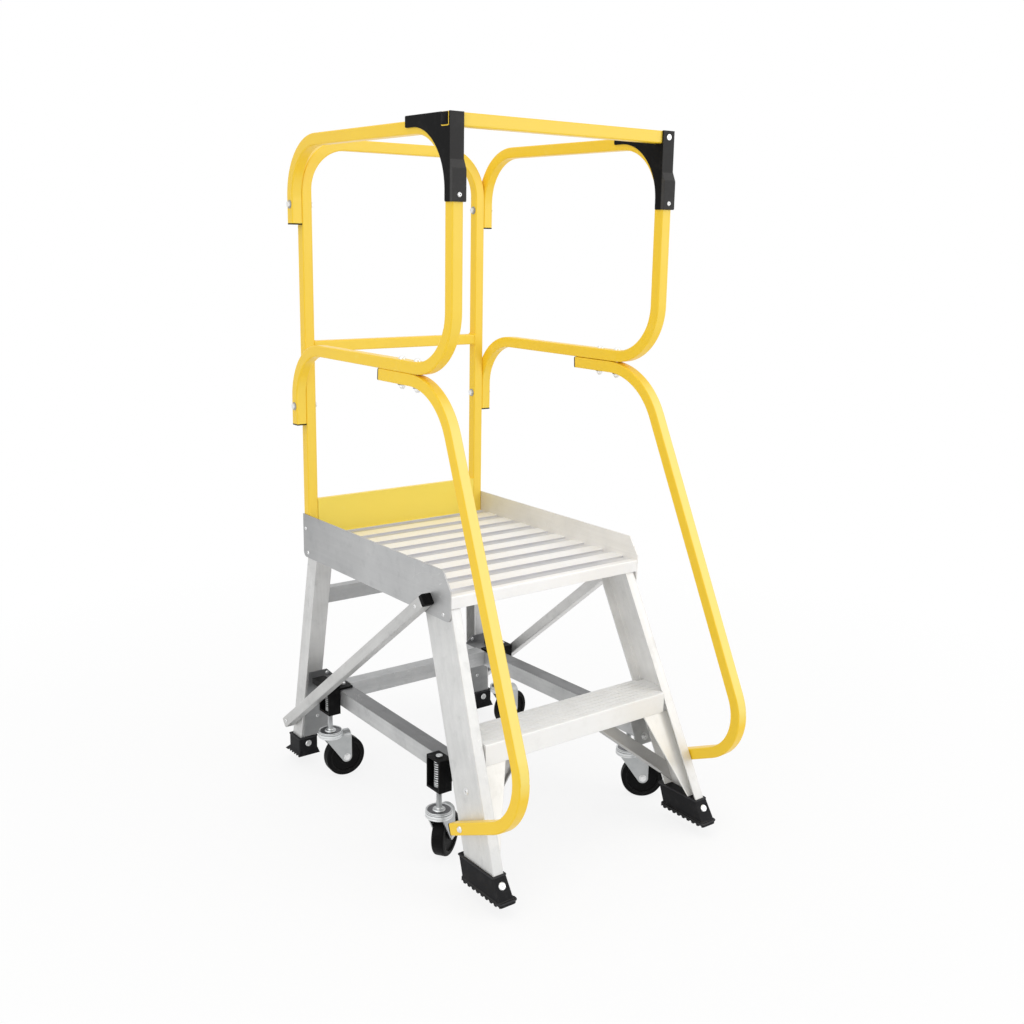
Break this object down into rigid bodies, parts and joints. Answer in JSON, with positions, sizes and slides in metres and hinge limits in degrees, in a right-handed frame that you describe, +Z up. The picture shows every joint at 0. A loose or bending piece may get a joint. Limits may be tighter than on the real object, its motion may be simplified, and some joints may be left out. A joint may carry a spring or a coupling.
{
  "type": "order picking platform",
  "caption": "Step platform with a ribbed deck, a tubular guard with a drop bar gate, handrails, rubber-shod legs and spring-loaded casters that retract under load.",
  "frame": {"origin": "on the floor under the wheels, midway across the platform and midway along its length", "axes": "+X to the right as seen by someone about to climb it, +Y from the step to the rear guard, +Z up"},
  "size_m": [0.6703, 0.99, 1.535],
  "materials": {
    "yellow_coat": "satin",
    "mill_aluminium": "satin",
    "black_moulding": "satin",
    "boot_rubber": "matte",
    "zinc_plate": "satin",
    "spring_steel": "satin",
    "wheel_rubber": "satin"
  },
  "bodies": {
    "frame": {"rear_frame": "yellow_coat", "mid_rail": "yellow_coat", "side_rail_l": "yellow_coat", "side_rail_r": "yellow_coat", "handrail_l": "yellow_coat", "handrail_r": "yellow_coat", "kick_board": "yellow_coat", "deck": "mill_aluminium", "side_plate_l": "mill_aluminium", "side_plate_r": "mill_aluminium", "front_stile_l": "mill_aluminium", "front_stile_r": "mill_aluminium", "step": "mill_aluminium", "knee_brace_l": "mill_aluminium", "knee_brace_r": "mill_aluminium", "rear_leg_l": "mill_aluminium", "rear_leg_r": "mill_aluminium", "leg_plates": "mill_aluminium", "base_rail_l": "mill_aluminium", "base_rail_r": "mill_aluminium", "rear_lower_cross": "mill_aluminium", "rear_upper_cross": "mill_aluminium", "diagonal_brace_l": "mill_aluminium", "diagonal_brace_r": "mill_aluminium", "rail_end_caps": "black_moulding", "corner_bracket_l": "black_moulding", "corner_bracket_r": "black_moulding", "brace_caps": "black_moulding", "spring_housing_front_l": "black_moulding", "spring_housing_front_r": "black_moulding", "spring_housing_rear_l": "black_moulding", "spring_housing_rear_r": "black_moulding", "front_boot_l": "boot_rubber", "front_boot_r": "boot_rubber", "rear_boot_l": "boot_rubber", "rear_boot_r": "boot_rubber", "gate_pin": "zinc_plate", "rail_bolts": "zinc_plate", "handrail_bolts": "zinc_plate", "housing_bolts": "zinc_plate", "rivets": "zinc_plate", "spring_front_l": "spring_steel", "spring_front_r": "spring_steel", "spring_rear_l": "spring_steel", "spring_rear_r": "spring_steel"},
    "gate": {"gate_bar": "yellow_coat", "gate_plug": "black_moulding"},
    "stem_front_l": {"caster_stem_front_l": "zinc_plate"},
    "fork_front_l": {"fork_front_l": "zinc_plate"},
    "wheel_front_l": {"wheel_front_l": "wheel_rubber"},
    "stem_front_r": {"caster_stem_front_r": "zinc_plate"},
    "fork_front_r": {"fork_front_r": "zinc_plate"},
    "wheel_front_r": {"wheel_front_r": "wheel_rubber"},
    "stem_rear_l": {"caster_stem_rear_l": "zinc_plate"},
    "fork_rear_l": {"fork_rear_l": "zinc_plate"},
    "wheel_rear_l": {"wheel_rear_l": "wheel_rubber"},
    "stem_rear_r": {"caster_stem_rear_r": "zinc_plate"},
    "fork_rear_r": {"fork_rear_r": "zinc_plate"},
    "wheel_rear_r": {"wheel_rear_r": "wheel_rubber"}
  },
  "joints": [
    {"name": "gate_swing", "type": "hinge", "parent": "frame", "child": "gate", "pos_m": [0.27, -0.21704, 1.5219], "axis": [0, 1, 0], "range_deg": [0, 90]},
    {"name": "spring_slide_front_l", "type": "slide", "parent": "frame", "child": "stem_front_l", "axis": [0, 0, 1], "range_m": [0, 0.025], "stiffness_N_per_m": 4000, "springref_m": -0.0275, "deforming": ["spring_front_l"]},
    {"name": "swivel_front_l", "type": "hinge", "parent": "stem_front_l", "child": "fork_front_l", "pos_m": [-0.27313, -0.16834, 0.106], "axis": [0, 0, 1], "continuous": true},
    {"name": "wheel_spin_front_l", "type": "hinge", "parent": "fork_front_l", "child": "wheel_front_l", "pos_m": [-0.24366, -0.14854, 0.05], "axis": [0.5577, -0.83, 0], "continuous": true},
    {"name": "spring_slide_front_r", "type": "slide", "parent": "frame", "child": "stem_front_r", "axis": [0, 0, 1], "range_m": [0, 0.025], "stiffness_N_per_m": 4000, "springref_m": -0.0275, "deforming": ["spring_front_r"]},
    {"name": "swivel_front_r", "type": "hinge", "parent": "stem_front_r", "child": "fork_front_r", "pos_m": [0.27313, -0.16834, 0.106], "axis": [0, 0, 1], "continuous": true},
    {"name": "wheel_spin_front_r", "type": "hinge", "parent": "fork_front_r", "child": "wheel_front_r", "pos_m": [0.30163, -0.18951, 0.05], "axis": [-0.5962, -0.8028, 0], "continuous": true},
    {"name": "spring_slide_rear_l", "type": "slide", "parent": "frame", "child": "stem_rear_l", "axis": [0, 0, 1], "range_m": [0, 0.025], "stiffness_N_per_m": 4000, "springref_m": -0.0275, "deforming": ["spring_rear_l"]},
    {"name": "swivel_rear_l", "type": "hinge", "parent": "stem_rear_l", "child": "fork_rear_l", "pos_m": [-0.26183, 0.32936, 0.106], "axis": [0, 0, 1], "continuous": true},
    {"name": "wheel_spin_rear_l", "type": "hinge", "parent": "fork_rear_l", "child": "wheel_rear_l", "pos_m": [-0.22648, 0.32608, 0.05], "axis": [-0.0924, -0.9957, 0], "continuous": true},
    {"name": "spring_slide_rear_r", "type": "slide", "parent": "frame", "child": "stem_rear_r", "axis": [0, 0, 1], "range_m": [0, 0.025], "stiffness_N_per_m": 4000, "springref_m": -0.0275, "deforming": ["spring_rear_r"]},
    {"name": "swivel_rear_r", "type": "hinge", "parent": "stem_rear_r", "child": "fork_rear_r", "pos_m": [0.26183, 0.32936, 0.106], "axis": [0, 0, 1], "continuous": true},
    {"name": "wheel_spin_rear_r", "type": "hinge", "parent": "fork_rear_r", "child": "wheel_rear_r", "pos_m": [0.29698, 0.3343, 0.05], "axis": [0.1392, -0.9903, 0], "continuous": true}
  ]
}
